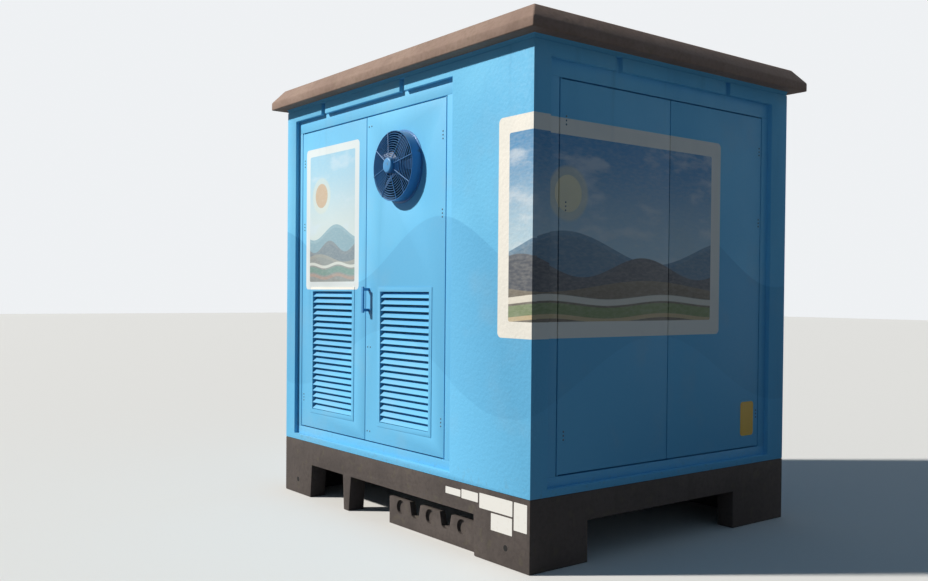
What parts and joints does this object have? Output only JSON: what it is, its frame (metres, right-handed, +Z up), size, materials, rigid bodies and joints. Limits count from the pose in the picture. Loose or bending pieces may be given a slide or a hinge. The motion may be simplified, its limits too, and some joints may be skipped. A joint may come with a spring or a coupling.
{
  "type": "transformer kiosk",
  "caption": "Precast concrete transformer kiosk on a raised plinth, with louvred and plain double doors, a door-mounted axial fan and a bevelled slab roof.",
  "frame": {"origin": "On the ground at the centre of the bounding box.", "axes": "+Z up, -Y out of the louvred front with the fan, +X out of the side with the plain double door."},
  "size_m": [2.93, 2.44, 3.0023],
  "materials": {
    "concrete": "weathered cast concrete",
    "roof_concrete": "weathered cast concrete",
    "wall_paint": "matt sky-blue paint on concrete",
    "door_paint": "satin sky-blue paint",
    "fan_paint": "satin deep-blue paint",
    "fan_plastic": "moulded plastic",
    "handle_paint": "satin sky-blue paint"
  },
  "bodies": {
    "shell": {"cable_entry_panel": "concrete", "floor_slab": "wall_paint", "front_frame_head": "door_paint", "front_frame_sill": "door_paint", "front_jamb_far": "door_paint", "front_jamb_near": "door_paint", "front_lintel": "wall_paint", "front_pier_far": "wall_paint", "front_pier_near": "wall_paint", "plinth_band_front": "concrete", "plinth_band_side": "concrete", "plinth_leg_far": "concrete", "plinth_leg_near": "concrete", "plinth_rib": "concrete", "plinth_side_leg_far": "concrete", "plinth_side_leg_near": "concrete", "plinth_wall_back": "concrete", "plinth_wall_far": "concrete", "roof_slab": "roof_concrete", "side_frame_head": "door_paint", "side_frame_sill": "door_paint", "side_jamb_far": "door_paint", "side_jamb_near": "door_paint", "side_lintel": "wall_paint", "side_pier_far": "wall_paint", "side_pier_near": "wall_paint", "wall_back": "wall_paint", "wall_far": "wall_paint"},
    "front_far_door": {"front_leaf_far": "door_paint", "louvre_far": "door_paint"},
    "front_near_door": {"front_leaf_near": "door_paint", "louvre_near": "door_paint", "fan_duct": "fan_paint", "fan_guard": "fan_paint", "fan_motor": "fan_paint", "door_handle": "handle_paint"},
    "fan_rotor": {"fan_impeller": "fan_plastic"},
    "side_near_door": {"side_leaf_near": "door_paint"},
    "side_far_door": {"side_leaf_far": "door_paint"}
  },
  "joints": [
    {"name": "front_far_hinge", "type": "hinge", "parent": "shell", "child": "front_far_door", "pos_m": [-1.1777, -1.092, 1.5], "axis": [0, 0, -1], "range_deg": [0, 110]},
    {"name": "front_near_hinge", "type": "hinge", "parent": "shell", "child": "front_near_door", "pos_m": [0.5637, -1.092, 1.5], "axis": [0, 0, 1], "range_deg": [0, 110]},
    {"name": "fan_spin", "type": "hinge", "parent": "front_near_door", "child": "fan_rotor", "pos_m": [0.108, -1.13, 2.272], "axis": [0, -1, 0], "continuous": true},
    {"name": "side_near_hinge", "type": "hinge", "parent": "shell", "child": "side_near_door", "pos_m": [1.337, -0.9037, 1.5], "axis": [0, 0, -1], "range_deg": [0, 110]},
    {"name": "side_far_hinge", "type": "hinge", "parent": "shell", "child": "side_far_door", "pos_m": [1.337, 0.8787, 1.5], "axis": [0, 0, 1], "range_deg": [0, 110]}
  ]
}
